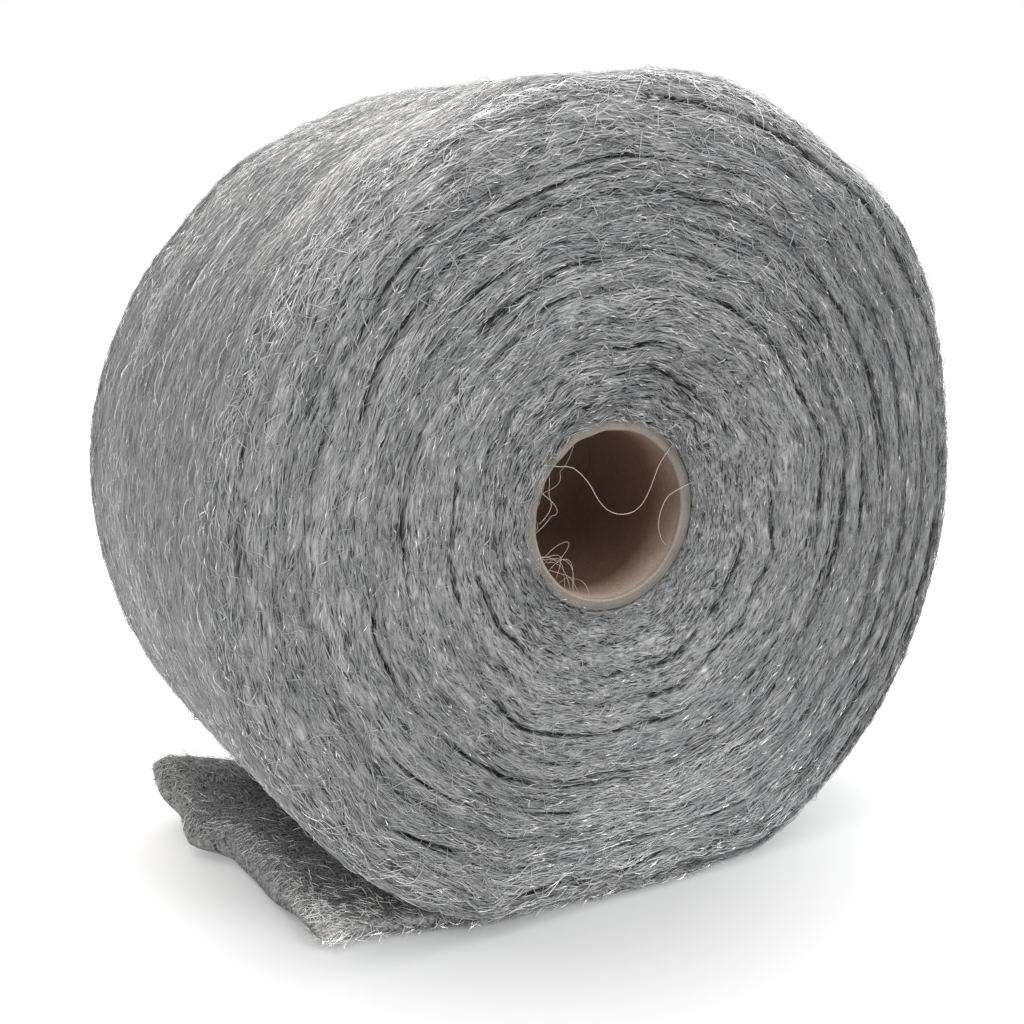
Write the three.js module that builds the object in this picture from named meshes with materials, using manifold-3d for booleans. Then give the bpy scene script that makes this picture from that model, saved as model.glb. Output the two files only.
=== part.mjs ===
// A roll of aluminium wool: a strip of matted metal fibre wound on a card core, lying on its side.
// Millimetres, +Z up. The roll's axis runs along Y. The origin is on the floor below the roll's middle.
import * as THREE from 'three';
import { mergeGeometries, mergeVertices } from 'three/addons/utils/BufferGeometryUtils.js';
import Module from 'manifold-3d';

const wasm = await Module();
wasm.setup();

// Card core
const coreBore = 38;
const coreWall = 3;
const coreLength = 80;
const coreChamfer = 0.4;
const coreSides = 64;

// Wound strip
const windingGap = 0.3; // between the core and the wool on it
const bedding = 0.5; // how far the first turn beds into the wrap under it
const stripWidth = 97;
const turnPitch = 6.35; // thickness of one turn as wound
const turnCount = 11;
const endThinning = 0.4; // share of its thickness that the last turn loses towards the torn end
const stripEdge = 1.1; // rounding along the strip's two edges
const stripWander = 0.8; // how far the strip strays sideways as it is wound
const wanderWaves = 1.37; // side to side swings in each turn
const stepsPerTurn = 48;

// Form of the wound roll
const dishReach = 26; // the wool dips to the core over this radial distance
const woolProud = 1.5; // how far the wool still stands past the core's ends there
const frontRim = 6; // rounding of the outer rim at the front face
const backRim = 12; // and at the back face
const rimEase = 0.1; // share of the last turn in which its rim eases down to the turn below
const flatSpot = 80; // width of the flat that the soft roll has settled on
const floorPress = 0.6; // depth of wool pressed level by the floor
// Soft bulges and dips of the outside: their middle and half width as shares of a turn, and their height.
const bulges = [
  [0.25, 0.05, 0.7], [0.375, 0.022, -1.3], [0.435, 0.028, -1.7], [0.492, 0.018, -1.6],
  [0.548, 0.034, 1.4], [0.648, 0.036, 3.3], [0.73, 0.03, -0.8],
];

// Loose end of the strip, which comes out from under the roll and lies on the floor
const tailReach = 84.8; // from below the axis to the furthest fibres
const tailThin = 7.2; // thickness at the front edge
const tailThick = 9.5; // thickness at the back edge
const tailRound = 2; // rounding of its edges
const tailBackInset = 1; // from the strip's full width to the tail's back edge
const tailEndInset = 12.5; // and to its front edge, at the torn end
// Front edge from there in under the roll: place along X, inset, and share of the full thickness.
const tailFront = [[-37, 5.5, 0.95], [-8, 1.2, 0.6], [8, -0.3, 0.4], [36, 4, 0.2]];
// Torn end, from front to back: share of the tail's width, and how far it stops short of the reach.
const tornEnd = [
  [0, 14.3], [0.12, 12.6], [0.39, 12], [0.57, 10.6], [0.66, 4],
  [0.7, 2.2], [0.81, 4], [0.88, 0.8], [0.95, 0], [1, 2.2],
];
const cornerLift = 9.2; // how far the torn end's back corner stands up
const liftWidth = 0.32; // share of the tail's width over which it rises

// Sizes that follow from those above
const fullTurn = 2 * Math.PI;
const halfStrip = stripWidth / 2;
const coreRadius = coreBore / 2 + coreWall;
const innerRadius = coreRadius + windingGap;
const spiralStart = innerRadius + bedding;
const rollRadius = spiralRadius(turnCount + 1 - endThinning);
const axisHeight = Math.sqrt(rollRadius ** 2 - (flatSpot / 2) ** 2);
const coreDish = (stripWidth - coreLength) / 2 - woolProud;
const turnEdgeRound = Math.min(stripEdge, 0.45 * turnPitch);
const tailEdgeRound = Math.min(tailRound, 0.45 * tailThin);

const woolMaterial = new THREE.MeshStandardMaterial({ color: 0x9a9a9a, roughness: 0.5, metalness: 0.8 });
const cardMaterial = new THREE.MeshStandardMaterial({ color: 0x8d7463, roughness: 0.9, metalness: 0 });

function bare(geometry) {
  geometry.deleteAttribute('normal');
  geometry.deleteAttribute('uv');
  return geometry;
}

function toSolid(geometry) {
  const welded = mergeVertices(bare(geometry));
  const vertProperties = welded.getAttribute('position').array;
  const triVerts = new Uint32Array(welded.getIndex().array);
  return new wasm.Manifold(new wasm.Mesh({ numProp: 3, vertProperties, triVerts }));
}

function toGeometry(solid) {
  const mesh = solid.getMesh();
  const geometry = new THREE.BufferGeometry();
  geometry.setAttribute('position', new THREE.BufferAttribute(mesh.vertProperties, 3));
  geometry.setIndex(new THREE.BufferAttribute(mesh.triVerts, 1));
  geometry.computeVertexNormals();
  return geometry;
}

// Radius of the spiral after a number of turns
function spiralRadius(wound) {
  return spiralStart + wound * turnPitch;
}

// How far a rim of the given rounding falls away at a depth below the roll's outer surface.
function rimDrop(rounding, depth) {
  const inward = THREE.MathUtils.clamp(rounding - depth, 0, rounding);
  return rounding - Math.sqrt(rounding ** 2 - inward ** 2);
}

// How far the floor pushes the roll's outside in, at a share of a turn. It eases off past the flat's ends.
function floorPush(share) {
  const downward = Math.max(Math.cos(share * fullTurn), Number.EPSILON);
  const past = rollRadius - (axisHeight + floorPress) / downward;
  return (past + Math.hypot(past, 2 * floorPress)) / 2;
}

// How far the outside bulges at a share of a turn.
function bulgeAt(share) {
  const heights = bulges.map(([middle, halfWidth, height]) => {
    const away = (share - middle) / halfWidth;
    return height * Math.exp(-(away ** 2));
  });
  return heights.reduce((sum, height) => sum + height, 0);
}

// A point of the settled roll, from its radius, its place along the axis and its share of a full turn.
// Turns are counted from straight down, clockwise as seen from the front. The roll has dished faces,
// rounded rims and a flat where it lies, and its outer turns give way and bulge more than its inner ones.
function settledPoint(radius, along, share) {
  const dish = coreDish * (1 - THREE.MathUtils.smoothstep(radius, coreRadius, coreRadius + dishReach));
  const grown = share * (1 - THREE.MathUtils.smoothstep(share, 1 - rimEase, 1));
  const outside = spiralRadius(turnCount + grown * (1 - endThinning));
  const rim = rimDrop(along < 0 ? frontRim : backRim, outside - radius);
  const narrowing = 1 - (dish + rim) / halfStrip;
  const softness = (radius - innerRadius) / (rollRadius - innerRadius);
  const settled = radius + (bulgeAt(share) - floorPush(share)) * softness ** 2;
  return new THREE.Vector3(
    -settled * Math.sin(share * fullTurn),
    along * narrowing,
    axisHeight - settled * Math.cos(share * fullTurn),
  );
}

// One rounded edge of the strip in one turn, from its groove outwards. Lift is the share of the turn's
// thickness that a point stands above the groove, and give its share of the last turn's thinning.
function turnEdge(turn, side) {
  const crown = side * halfStrip;
  const low = turnEdgeRound / turnPitch;
  const high = 1 - low;
  const last = turn === turnCount - 1 ? 1 : 0;
  return [
    { turn, lift: 0, give: 0, along: crown - side * turnEdgeRound },
    { turn, lift: low, give: low * last, along: crown },
    { turn, lift: high, give: high * last, along: crown },
  ];
}

// The outer corner of a turn is the next turn's groove, and on the last turn the roll's own edge.
function outerCorner(turn, side) {
  const last = turn === turnCount - 1 ? 1 : 0;
  return { ...turnEdge(turn + 1, side)[0], give: last };
}

// The section of turns first to last: front edges outwards, then back edges inwards.
function woundSection(first, last) {
  const front = [];
  const back = [];
  for (let turn = first; turn <= last; turn += 1) {
    front.push(...turnEdge(turn, -1));
    back.push(...turnEdge(turn, 1));
  }
  front.push(outerCorner(last, -1));
  back.push(outerCorner(last, 1));
  return [...front, ...back.reverse()];
}

// The radius grows by one pitch in a turn, while the strip strays from side to side.
function woundPoint({ turn, lift, give, along }, share) {
  const wound = turn + share;
  const aside = stripWander * Math.sin(wanderWaves * fullTurn * wound);
  const radius = spiralRadius(wound + lift - give * endThinning * share);
  return settledPoint(radius, along + aside, share % 1);
}

function flatPoint({ turn, lift, along }) {
  return new THREE.Vector2(spiralRadius(turn + lift), along);
}

// A cut end of the strip, which closes the first or the last turn.
function cutEnd(turn, share, outwards) {
  const section = woundSection(turn, turn);
  const faces = THREE.ShapeUtils.triangulateShape(section.map(flatPoint), []);
  const corners = faces.flatMap((face) => (outwards ? face : face.reverse()));
  const points = section.map((point) => woundPoint(point, share));
  return new THREE.BufferGeometry().setFromPoints(points).setIndex(corners);
}

// All turns as one body: their section is revolved, and each vertex then moves out along the spiral,
// so that the end of every turn meets the start of the next one.
function makeTurns() {
  const section = woundSection(0, turnCount - 1);
  section.push(section[0]);
  const turns = new THREE.LatheGeometry(section.map(flatPoint), stepsPerTurn);
  const position = turns.getAttribute('position');
  for (let i = 0; i < position.count; i += 1) {
    const share = Math.floor(i / section.length) / stepsPerTurn;
    const { x, y, z } = woundPoint(section[i % section.length], share);
    position.setXYZ(i, x, y, z);
  }
  return toSolid(mergeGeometries([bare(turns), cutEnd(0, 0, true), cutEnd(turnCount - 1, 1, false)]));
}

// The strip's first wrap, pressed flat on the core under the first turn.
function makeFirstWrap() {
  const half = halfStrip - turnEdgeRound;
  const outer = spiralStart + turnPitch + bedding;
  const corners = [[innerRadius, -half], [outer, -half], [outer, half], [innerRadius, half]];
  const section = [...corners, corners[0]];
  const wrap = new THREE.LatheGeometry(section.map(([r, y]) => new THREE.Vector2(r, y)), stepsPerTurn);
  const position = wrap.getAttribute('position');
  for (let i = 0; i < position.count; i += 1) {
    const [radius, along] = section[i % section.length];
    const { x, y, z } = settledPoint(radius, along, Math.floor(i / section.length) / stepsPerTurn);
    position.setXYZ(i, x, y, z);
  }
  return toSolid(wrap);
}

// A point of the tail, from a step in from its torn end, a column from front to back, and a level that is
// 0 halfway up, -1 below and 1 on top. The edges are round: their top and their underside are drawn in.
// The torn end's back corner stands up from the floor.
function tailPoint(step, column, level) {
  const [share, short] = tornEnd[column];
  const [along, inset, fullness] = step > 0 ? tailFront[step - 1] : [short - tailReach, tailEndInset, 1];
  const drawnIn = Math.abs(level) * tailEdgeRound;
  const front = inset - halfStrip + drawnIn;
  const back = halfStrip - tailBackInset - drawnIn;
  const lift = step > 0 ? 0 : cornerLift * THREE.MathUtils.smoothstep(share, 1 - liftWidth, 1);
  const thickness = fullness * THREE.MathUtils.lerp(tailThin, tailThick, share);
  return new THREE.Vector3(
    step > 0 ? along : along + drawnIn,
    THREE.MathUtils.lerp(front, back, share),
    lift + thickness * (1 + level) / 2,
  );
}

// The loose end: a torn flap that comes out from under the roll towards -X. It is a block of steps along
// and across it, with each vertex moved to its place.
function makeTail() {
  const steps = tailFront.length;
  const columns = tornEnd.length - 1;
  const flap = new THREE.BoxGeometry(steps, columns, 2, steps, columns, 2);
  flap.translate(steps / 2, columns / 2, 0);
  const position = flap.getAttribute('position');
  for (let i = 0; i < position.count; i += 1) {
    const cell = new THREE.Vector3().fromBufferAttribute(position, i).round();
    const { x, y, z } = tailPoint(cell.x, cell.y, cell.z);
    position.setXYZ(i, x, y, z);
  }
  return toSolid(flap);
}

function makeWoolRoll() {
  const underFloor = new THREE.BoxGeometry(2 * rollRadius, 2 * stripWidth, axisHeight);
  underFloor.translate(0, 0, -axisHeight / 2);
  const wound = makeTurns().add(makeFirstWrap());
  const strip = wound.subtract(toSolid(underFloor)).add(makeTail());
  const mesh = new THREE.Mesh(toGeometry(strip), woolMaterial);
  mesh.name = 'wool_roll';
  return mesh;
}

function makeCoreTube() {
  const half = coreLength / 2;
  const bore = coreBore / 2;
  const profile = [
    new THREE.Vector2(bore, -half + coreChamfer),
    new THREE.Vector2(bore + coreChamfer, -half),
    new THREE.Vector2(coreRadius - coreChamfer, -half),
    new THREE.Vector2(coreRadius, -half + coreChamfer),
    new THREE.Vector2(coreRadius, half - coreChamfer),
    new THREE.Vector2(coreRadius - coreChamfer, half),
    new THREE.Vector2(bore + coreChamfer, half),
    new THREE.Vector2(bore, half - coreChamfer),
    new THREE.Vector2(bore, -half + coreChamfer),
  ];
  const mesh = new THREE.Mesh(new THREE.LatheGeometry(profile, coreSides), cardMaterial);
  mesh.name = 'core_tube';
  mesh.position.z = axisHeight;
  return mesh;
}

const roll = new THREE.Group();
roll.add(makeWoolRoll(), makeCoreTube());

export default roll;
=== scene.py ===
import math

import bpy
import numpy as np
from mathutils import Matrix, Vector


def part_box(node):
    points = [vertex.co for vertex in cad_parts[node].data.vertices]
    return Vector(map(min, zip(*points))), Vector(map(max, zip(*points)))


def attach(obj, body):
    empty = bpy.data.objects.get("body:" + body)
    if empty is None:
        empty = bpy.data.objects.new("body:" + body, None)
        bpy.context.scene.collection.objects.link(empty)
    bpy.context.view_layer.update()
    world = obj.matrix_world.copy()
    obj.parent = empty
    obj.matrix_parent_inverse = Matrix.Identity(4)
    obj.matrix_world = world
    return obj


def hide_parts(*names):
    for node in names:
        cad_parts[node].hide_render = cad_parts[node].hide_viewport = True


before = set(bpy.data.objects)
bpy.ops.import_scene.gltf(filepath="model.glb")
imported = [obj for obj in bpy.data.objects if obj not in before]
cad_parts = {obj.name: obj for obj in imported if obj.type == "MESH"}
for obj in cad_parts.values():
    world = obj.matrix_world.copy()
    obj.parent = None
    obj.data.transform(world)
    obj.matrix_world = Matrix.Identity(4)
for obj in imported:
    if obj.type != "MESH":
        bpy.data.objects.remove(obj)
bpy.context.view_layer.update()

coreLow, coreHigh = (np.array(corner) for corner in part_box("core_tube"))
coreRadius = (coreHigh[0] - coreLow[0]) / 2
coreHalf = (coreHigh[1] - coreLow[1]) / 2
axisHeight = (coreHigh[2] + coreLow[2]) / 2
fullTurn = 2 * math.pi
floorGap = 0.0001  # fibres and the tail stay this far above the floor
scene = bpy.context.scene
print("frame loaded")


# small helpers for shapes

def smoothStep(value, low, high):
    share = np.clip((value - low) / (high - low), 0, 1)
    return share * share * (3 - 2 * share)


# soft noise of about -2 to 2: a sum of waves, so it has no grid and works in any number of directions
def ripple(coords, seed, waves=40):
    rng = np.random.default_rng(seed)
    directions = rng.normal(size=(coords.shape[-1], waves))
    phases = rng.uniform(0, fullTurn, waves)
    return np.sin(coords @ directions + phases).sum(-1) / math.sqrt(waves / 2)


# coordinates for a ripple that goes round with the winding; along is how fast it changes round the axis
def woundField(share, along, *others):
    angle = share * fullTurn
    return np.stack([np.cos(angle) * along, np.sin(angle) * along, *others], -1)


# x, y, z of places at a distance from the roll's axis, round it by a share of a turn
def roundAxis(radius, along, share, centre=axisHeight):
    angle = share * fullTurn
    return np.stack([-radius * np.sin(angle), along, centre - radius * np.cos(angle)], -1)


def unit(vectors):
    return vectors / np.maximum(np.linalg.norm(vectors, axis=-1, keepdims=True), 1e-9)


# makes a mesh piece from points and faces of one size, with a bake map and per-point values
def newPiece(name, points, faces, material, bakeMap=None, values=None, smooth=True):
    faces = np.asarray(faces, dtype=np.int32)
    sides = faces.shape[1]
    mesh = bpy.data.meshes.new(name)
    mesh.vertices.add(len(points))
    mesh.vertices.foreach_set("co", np.asarray(points, dtype=np.float32).ravel())
    mesh.loops.add(faces.size)
    mesh.loops.foreach_set("vertex_index", faces.ravel())
    mesh.polygons.add(len(faces))
    mesh.polygons.foreach_set("loop_start", np.arange(0, faces.size, sides, dtype=np.int32))
    if bakeMap is not None:
        layer = mesh.uv_layers.new(name="OFBake")
        layer.uv.foreach_set("vector", np.asarray(bakeMap, dtype=np.float32).ravel())
    for key, numbers in (values or {}).items():
        attribute = mesh.attributes.new(key, "FLOAT", "POINT")
        attribute.data.foreach_set("value", np.asarray(numbers, dtype=np.float32).ravel())
    mesh.update(calc_edges=True)
    mesh.validate()
    if smooth:
        mesh.shade_smooth()
    else:
        mesh.shade_flat()
    mesh.materials.append(material)
    piece = bpy.data.objects.new(name, mesh)
    scene.collection.objects.link(piece)
    return piece


def seatPiece(piece, node):
    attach(piece, "root")
    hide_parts(node)
    count = sum(len(polygon.vertices) - 2 for polygon in piece.data.polygons)
    print(piece.name, "has", count, "triangles")


# faces and bake map of a grid of columns x rows that closes round both ways
def gridFaces(columns, rows):
    column, row = np.meshgrid(np.arange(columns), np.arange(rows), indexing="ij")
    corners = [(column, row), (column + 1, row), (column + 1, row + 1), (column, row + 1)]
    faces = np.stack([(c % columns) * rows + r % rows for c, r in corners], -1).reshape(-1, 4)
    bakeMap = np.stack([np.stack([c / columns, r / rows], -1) for c, r in corners], -2)
    return faces, bakeMap.reshape(-1, 2)


# shader maths: a wire is a socket, and sums on wires add Math nodes
class Wire:
    def __init__(self, tree, socket=None):
        self.tree = tree
        self.socket = socket

    def node(self, kind, settings, sockets, out=0):
        made = self.tree.nodes.new(kind)
        for key, value in settings.items():
            if key == "stops":
                self.setStops(made.color_ramp, value)
            else:
                setattr(made, key, value)
        for key, value in sockets.items():
            self.feed(self.pick(made.inputs, key), value)
        return Wire(self.tree, self.pick(made.outputs, out))

    def pick(self, sockets, key):
        if isinstance(key, int):
            return sockets[key]
        return next(s for s in sockets if s.enabled and key in (s.name, s.identifier))

    def feed(self, socket, value):
        if isinstance(value, Wire):
            self.tree.links.new(value.socket, socket)
        else:
            socket.default_value = value

    def setStops(self, ramp, stops):
        while len(ramp.elements) < len(stops):
            ramp.elements.new(1)
        for element, (place, colour) in zip(ramp.elements, stops):
            element.position = place
            element.color = (*colour, 1)

    def sum(self, operation, *values):
        return self.node("ShaderNodeMath", {"operation": operation}, dict(enumerate(values)))

    def __add__(self, other):
        return self.sum("ADD", self, other)

    def __radd__(self, other):
        return self.sum("ADD", other, self)

    def __sub__(self, other):
        return self.sum("SUBTRACT", self, other)

    def __rsub__(self, other):
        return self.sum("SUBTRACT", other, self)

    def __mul__(self, other):
        return self.sum("MULTIPLY", self, other)

    def __rmul__(self, other):
        return self.sum("MULTIPLY", other, self)

    def __truediv__(self, other):
        return self.sum("DIVIDE", self, other)

    def __rtruediv__(self, other):
        return self.sum("DIVIDE", other, self)

    def __pow__(self, other):
        return self.sum("POWER", self, other)

    def __rpow__(self, other):
        return self.sum("POWER", other, self)

    def noise(self, vector, scale, detail, **more):
        sockets = {"Vector": vector, "Scale": scale, "Detail": detail, **more}
        kind = "4D" if "W" in more else "3D"
        return self.node("ShaderNodeTexNoise", {"noise_dimensions": kind}, sockets, "Fac")

    def ramp(self, stops):
        return self.node("ShaderNodeValToRGB", {"stops": stops}, {"Fac": self}, "Color")

    def span(self, low, high, toLow=0.0, toHigh=1.0):
        sockets = {"Value": self, "From Min": low, "From Max": high, "To Min": toLow, "To Max": toHigh}
        return self.node("ShaderNodeMapRange", {}, sockets, "Result")

    def blend(self, first, second):
        sockets = {"Factor": self, "A": first, "B": second}
        return self.node("ShaderNodeMix", {"data_type": "RGBA"}, sockets, "Result")


# a material with a Principled shader; the numbers in fixed are set on its sockets
def newMaterial(name, fixed):
    material = bpy.data.materials.new(name)
    material.use_nodes = True
    shader = material.node_tree.nodes["Principled BSDF"]
    for key, value in fixed.items():
        shader.inputs[key].default_value = value
    start = Wire(material.node_tree)
    place = start.node("ShaderNodeTexCoord", {}, {}, "Object")
    return material, shader, place


def feedShader(shader, feeds):
    for key, wire in feeds.items():
        wire.feed(shader.inputs[key], wire)


# a value that a mesh keeps at its points
def pointValue(place, name):
    return place.node("ShaderNodeAttribute", {"attribute_name": name}, {}, "Fac")


# position split into x, y, z wires
def splitPlace(place):
    return [place.node("ShaderNodeSeparateXYZ", {}, {"Vector": place}, axis) for axis in "XYZ"]


# position as x, y, the height over the roll's axis and the distance from it
def axisPlace(place):
    x, y, z = splitPlace(place)
    height = z - axisHeight
    return x, y, height, (x * x + height * height) ** 0.5


# coordinates that follow the winding: the same all along a turn, quick to change across it
def woundPlace(place, alongScale, acrossScale, sway=0.0):
    x, y, height, radius = axisPlace(place)
    out = (radius + sway) * acrossScale
    parts = {"X": x / radius * alongScale, "Y": height / radius * alongScale, "Z": out}
    return place.node("ShaderNodeCombineXYZ", {}, parts), (y + sway) * acrossScale


matFinish = dict(
    metallic=0.5, relief=0.0007,
    along=14.0, across=1700.0,  # streaks for each radian and each metre
    sway=0.0032, swayAlong=5.0, swayAcross=160.0,
    layerThin=0.2, layerSway=2.0, layerShift=7.0,  # how the second layer of streaks differs from the first
    streakSpan=(0.4, 0.72), streaks=0.85, mottleScale=260.0, mottle=0.15,
    bandAlong=3.0, bandAcross=520.0, bands=0.3,
    felt=1500.0, feltWide=600.0, feltLess=0.06,
    calm=0.55, middle=0.55, contrast=0.8, deep=0.9,  # plainer on the side; painted shade darkens the crevices
    shineSpan=(0.4, 0.8), rough=(0.6, 0.38),
    # the streaks are the wool's own grain, but their near-black end is painted shade between fibres, and
    # cool dark to warm pale is a painted tint of the lamps
    shades=[(0.16, (0.0115, 0.0122, 0.0145)), (0.4, (0.2, 0.2, 0.2)), (0.95, (0.42, 0.417, 0.412))],
)


# streaks of matted fibre in one layer; each layer sways off the winding in its own way
def fibreStreaks(place, layer):
    across = matFinish["across"] * (1 - matFinish["layerThin"] * layer)
    swayAlong = matFinish["swayAlong"] + matFinish["layerSway"] * layer
    swing, swingAside = woundPlace(place, swayAlong, matFinish["swayAcross"])
    sway = (place.noise(swing, 1.0, detail=1.0, W=swingAside) - 0.5) * matFinish["sway"]
    wound, aside = woundPlace(place, matFinish["along"], across, sway)
    return place.noise(wound, 1.0, detail=2.0, W=aside + matFinish["layerShift"] * layer)


# the matted fibres under the loose ones: wound in streaks on the roll, felted on the tail
def matMaterial(name, felted=False):
    material, shader, place = newMaterial(name, {"Metallic": matFinish["metallic"]})
    if felted:
        first = place.noise(place, matFinish["felt"], detail=4.0)
        second = place.noise(place, matFinish["feltWide"], detail=3.0) - matFinish["feltLess"]
        calm = 0.0
    else:
        first = fibreStreaks(place, 0)
        second = fibreStreaks(place, 1)
        calm = pointValue(place, "side") * matFinish["calm"]
    streaks = first.sum("MAXIMUM", first, second)
    wide, wideAside = woundPlace(place, matFinish["bandAlong"], matFinish["bandAcross"])
    bands = (place.noise(wide, 1.0, detail=2.0, W=wideAside) - 0.5) * matFinish["bands"]
    mottle = place.noise(place, matFinish["mottleScale"], detail=2.0) * matFinish["mottle"]
    level = streaks.span(*matFinish["streakSpan"]) * matFinish["streaks"] + mottle + bands
    level = matFinish["middle"] + (level - 0.5) * (1.0 - calm) * matFinish["contrast"]
    # painted shade: darker in the crevices and along the joints between turns
    level = level * (1.0 - pointValue(place, "deep") * matFinish["deep"])
    grain = {"Strength": 1.0, "Distance": matFinish["relief"], "Height": streaks * (1.0 - calm)}
    feedShader(shader, {
        "Base Color": level.ramp(matFinish["shades"]),
        "Roughness": streaks.span(*matFinish["shineSpan"], *matFinish["rough"]),
        "Normal": place.node("ShaderNodeBump", {}, grain, "Normal"),
    })
    return material


fibreFinish = dict(
    metallic=0.6, drawnScale=900.0, drawnTone=0.25, drawnFrom=0.3, drawnRough=0.15,  # faint drawing marks
    shineTones=(0.5, 0.95), rough=(0.58, 0.25),
    # cool in the dark tones and warm in the pale ones, a painted tint of the lamps' colours
    aluminium=[(0.0, (0.0115, 0.0122, 0.0145)), (0.45, (0.315, 0.319, 0.325)),
               (0.8, (0.62, 0.612, 0.6)), (1.0, (0.95, 0.935, 0.91))],
    warm=[(0.0, (0.1, 0.08, 0.065)), (0.45, (0.42, 0.35, 0.29)),
          (0.8, (0.72, 0.63, 0.55)), (1.0, (0.95, 0.88, 0.8))],
)


# single bright fibres, each with its own tone
def fibreMaterial(name, shades):
    material, shader, place = newMaterial(name, {"Metallic": fibreFinish["metallic"]})
    tone = pointValue(place, "tone")
    drawn = place.noise(place, fibreFinish["drawnScale"], detail=2.0) - 0.5
    level = tone + drawn * fibreFinish["drawnTone"] * tone.span(0.0, fibreFinish["drawnFrom"])
    rough = tone.span(*fibreFinish["shineTones"], *fibreFinish["rough"]) + drawn * fibreFinish["drawnRough"]
    feedShader(shader, {"Base Color": level.ramp(shades), "Roughness": rough})
    return material


rollMat = matMaterial("mattedWool")
tailMat = matMaterial("feltedTail", felted=True)
fibreMat = fibreMaterial("aluminiumFibre", fibreFinish["aluminium"])
filamentMat = fibreMaterial("warmFilament", fibreFinish["warm"])
print("wool finishes made")


# camera: placed round the middle of the roll's front face, in degrees and metres, with the lens and the
# sensor in millimetres
shot = dict(
    yaw=-33.76, elevation=14.03, roll=-1.0, distance=0.3195, aimRight=-0.02605, aimUp=0.00239,
    lens=51.85, sensor=36.0, clipStart=0.01,
)


# right and up of a view along ahead
def viewSides(ahead):
    right = ahead.cross(Vector((0, 0, 1))).normalized()
    return right, right.cross(ahead)


def placeCamera(settings, centre):
    yaw = math.radians(settings["yaw"])
    elevation = math.radians(settings["elevation"])
    level = math.cos(elevation)
    back = Vector((math.sin(yaw) * level, -math.cos(yaw) * level, math.sin(elevation)))
    right, up = viewSides(-back)
    aim = right * settings["aimRight"] + up * settings["aimUp"]
    spot = back * settings["distance"]
    ahead = (aim - spot).normalized()
    right, up = viewSides(ahead)
    turn = math.radians(settings["roll"])
    tilted = right * math.cos(turn) + up * math.sin(turn)
    upright = up * math.cos(turn) - right * math.sin(turn)
    data = bpy.data.cameras.new("camera")
    data.lens = settings["lens"]
    data.sensor_width = settings["sensor"]
    data.clip_start = settings["clipStart"]
    camera = bpy.data.objects.new("camera", data)
    place = Matrix((tilted, upright, -ahead)).transposed().to_4x4()
    place.translation = centre + spot
    camera.matrix_world = place
    scene.collection.objects.link(camera)
    scene.camera = camera


rollForm = dict(
    stripWidth=0.097, pitch=0.00635, turns=11, thinning=0.4,  # the strip as wound
    gap=0.0003, bedding=0.0005,  # between core and wool, and under the first turn
    wander=0.0008, wanderWaves=1.37, wanderStep=0.65, lastTurn=0.002,  # sideways stray of the strip
    frontRim=0.006, backRim=0.012, dishReach=0.026, overhang=0.002,
    press=0.0006,  # how softly the settled flat begins
    lumps=0.00018, lumpsAlong=6.0, lumpsOut=0.004, lumpsAside=0.006, sink=0.00025,
    flow=0.0005, flowAlong=10.0, flowAcross=0.009,  # how far the wool waves off the winding, and how fast
    proud=0.0015,  # how far the wool stands past the core's ends
    columns=380, faceRows=112, backRows=48, rimRows=7, backRimRows=10, sideRows=24, boreRows=4,
)
halfStrip = rollForm["stripWidth"] / 2
innerRadius = coreRadius + rollForm["gap"]
spiralStart = innerRadius + rollForm["bedding"]
rollRadius = spiralStart + (rollForm["turns"] + 1 - rollForm["thinning"]) * rollForm["pitch"]
coreDish = halfStrip - coreHalf - rollForm["proud"]
frontArc = rollForm["frontRim"] * math.pi / 2
backArc = rollForm["backRim"] * math.pi / 2
sideSpan = rollForm["stripWidth"] - rollForm["frontRim"] - rollForm["backRim"]
placeCamera(shot, Vector((0, -halfStrip, axisHeight)))
print("camera placed")

# crevices between the turns: long arcs and short dashes, more of them at the right and fewer at the left
creviceForm = dict(
    depth=0.0016, reach=0.0004, least=0.08, broken=(-0.3, 1.2),
    arcs=0.75, arcsAlong=3.4, arcsAcross=2.3,
    dashes=0.55, dashesAlong=12.0, dashesAcross=3.1, calmDashes=0.6,
    calmFrom=(0.01, 0.08), calm=0.25, leftFrom=(0.02, 0.07), left=0.9,  # metres to the right and to the left
    shade=0.35, shadeReach=0.0012, shadeAlong=2.2, shadeAcross=1.7, shadeBroken=(-1.2, 0.8), shadeLeast=0.25,
    splitReach=0.00035,
)

# longer dark splits between layers: radius, share of a turn at the middle, half the length as a share, depth
splits = [
    (0.0890, 0.275, 0.040, 0.0012), (0.0549, 0.270, 0.050, 0.0018), (0.0590, 0.010, 0.060, 0.0018),
    (0.0612, 0.105, 0.035, 0.0014), (0.0740, 0.450, 0.050, 0.0014), (0.0700, 0.535, 0.035, 0.0014),
    (0.0615, 0.655, 0.035, 0.0014), (0.0573, 0.790, 0.045, 0.0014), (0.0706, 0.735, 0.050, 0.0012),
    (0.0562, 0.420, 0.020, 0.0012), (0.0374, 0.390, 0.045, 0.0010), (0.0275, 0.630, 0.060, 0.0010),
    (0.0706, 0.135, 0.040, 0.0012), (0.0830, 0.865, 0.050, 0.0012), (0.0316, 0.265, 0.050, 0.0010),
]

# soft bulges and dips of the outside: share of a turn, half width as a share, height
bulges = [
    (0.25, 0.05, 0.0007), (0.375, 0.022, -0.0013), (0.435, 0.028, -0.0017), (0.492, 0.018, -0.0016),
    (0.548, 0.034, 0.0014), (0.648, 0.036, 0.0033), (0.73, 0.03, -0.0008),
]


# Share is the share of a turn, from straight down and clockwise as seen from the front. The next two say how
# far up and how far left it lies, from -1 to 1.
def upward(share):
    return -np.cos(share * fullTurn)


def leftward(share):
    return np.sin(share * fullTurn)


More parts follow.
